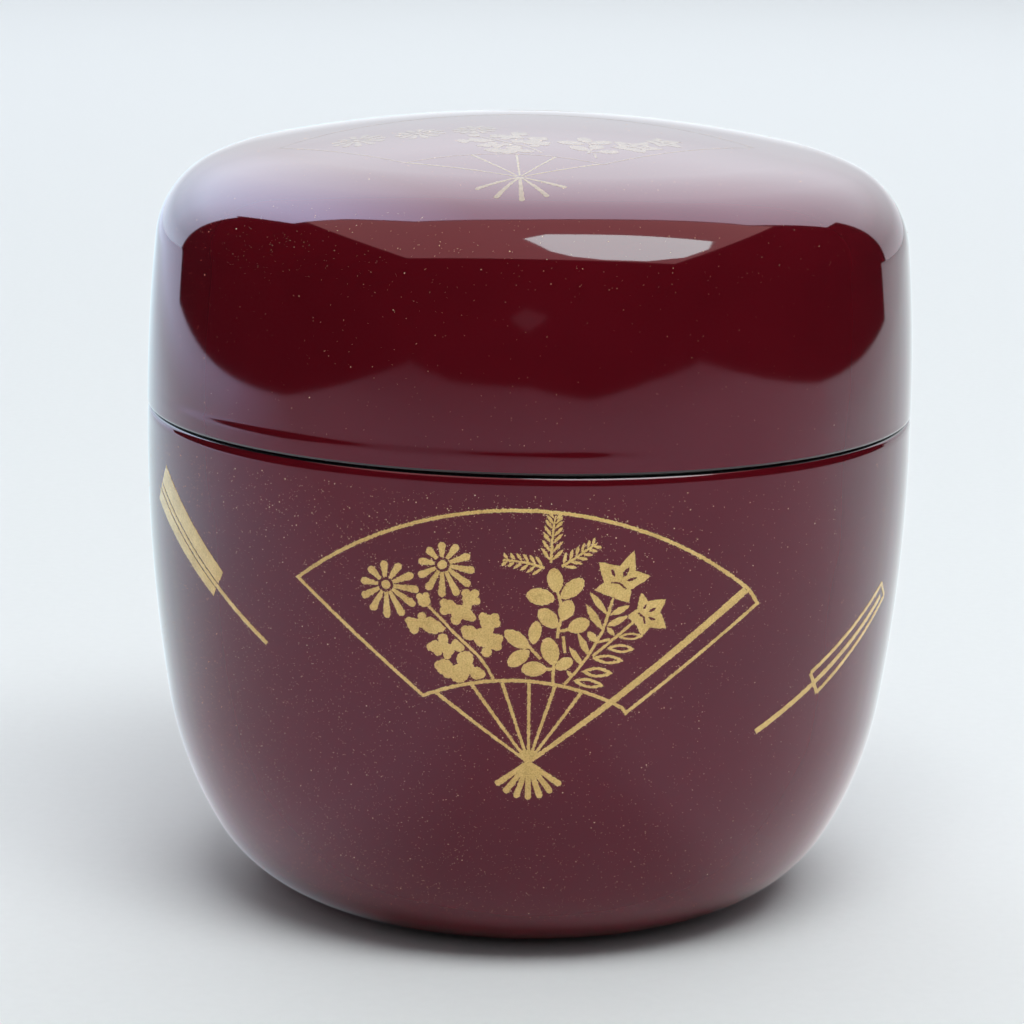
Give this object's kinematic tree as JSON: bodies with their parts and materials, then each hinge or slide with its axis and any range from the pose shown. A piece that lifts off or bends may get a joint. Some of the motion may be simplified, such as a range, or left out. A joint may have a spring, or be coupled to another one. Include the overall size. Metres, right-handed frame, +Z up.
{
  "type": "natsume tea caddy",
  "caption": "Round turned and lacquered tea caddy with a lift-off lid over an upright lip, a recessed base and thin gold relief pictures.",
  "frame": {"origin": "centre of the standing face, on the axis of turning", "axes": "+Z up along the axis of turning, -Y towards the side with the open fan"},
  "size_m": [0.066, 0.066, 0.0674],
  "materials": {
    "turned_wood": "fine turned grain, sealed",
    "red_lacquer": "deep polished dark red lacquer with sparse gold dust",
    "black_lacquer": "polished black lacquer",
    "gold_powder": "matt sprinkled gold powder"
  },
  "bodies": {
    "body": {"body_core": "turned_wood", "body_outer_lacquer": "red_lacquer", "body_inner_lacquer": "black_lacquer", "base_lacquer": "red_lacquer", "front_fan_outline": "gold_powder", "front_fan_ribs": "gold_powder", "front_fan_guard": "gold_powder", "front_fan_tails": "gold_powder", "chrysanthemum_left": "gold_powder", "chrysanthemum_right": "gold_powder", "chrysanthemum_leaves": "gold_powder", "clover_sprig_tall": "gold_powder", "clover_sprig_low": "gold_powder", "fern_spray": "gold_powder", "bellflower_upper": "gold_powder", "bellflower_lower": "gold_powder", "bellflower_leaves": "gold_powder", "left_folded_fan": "gold_powder", "right_folded_fan": "gold_powder"},
    "lid": {"lid_core": "turned_wood", "lid_outer_lacquer": "red_lacquer", "lid_inner_lacquer": "black_lacquer", "lid_fan_outline": "gold_powder", "lid_fan_ribs": "gold_powder", "lid_fan_tails": "gold_powder", "lid_chrysanthemums": "gold_powder", "lid_clover_sprig": "gold_powder", "lid_bellflower": "gold_powder", "lid_leaves": "gold_powder"}
  },
  "joints": [
    {"name": "lid_lift", "type": "slide", "parent": "body", "child": "lid", "axis": [0, 0, 1], "range_m": [0, 0.07]}
  ]
}
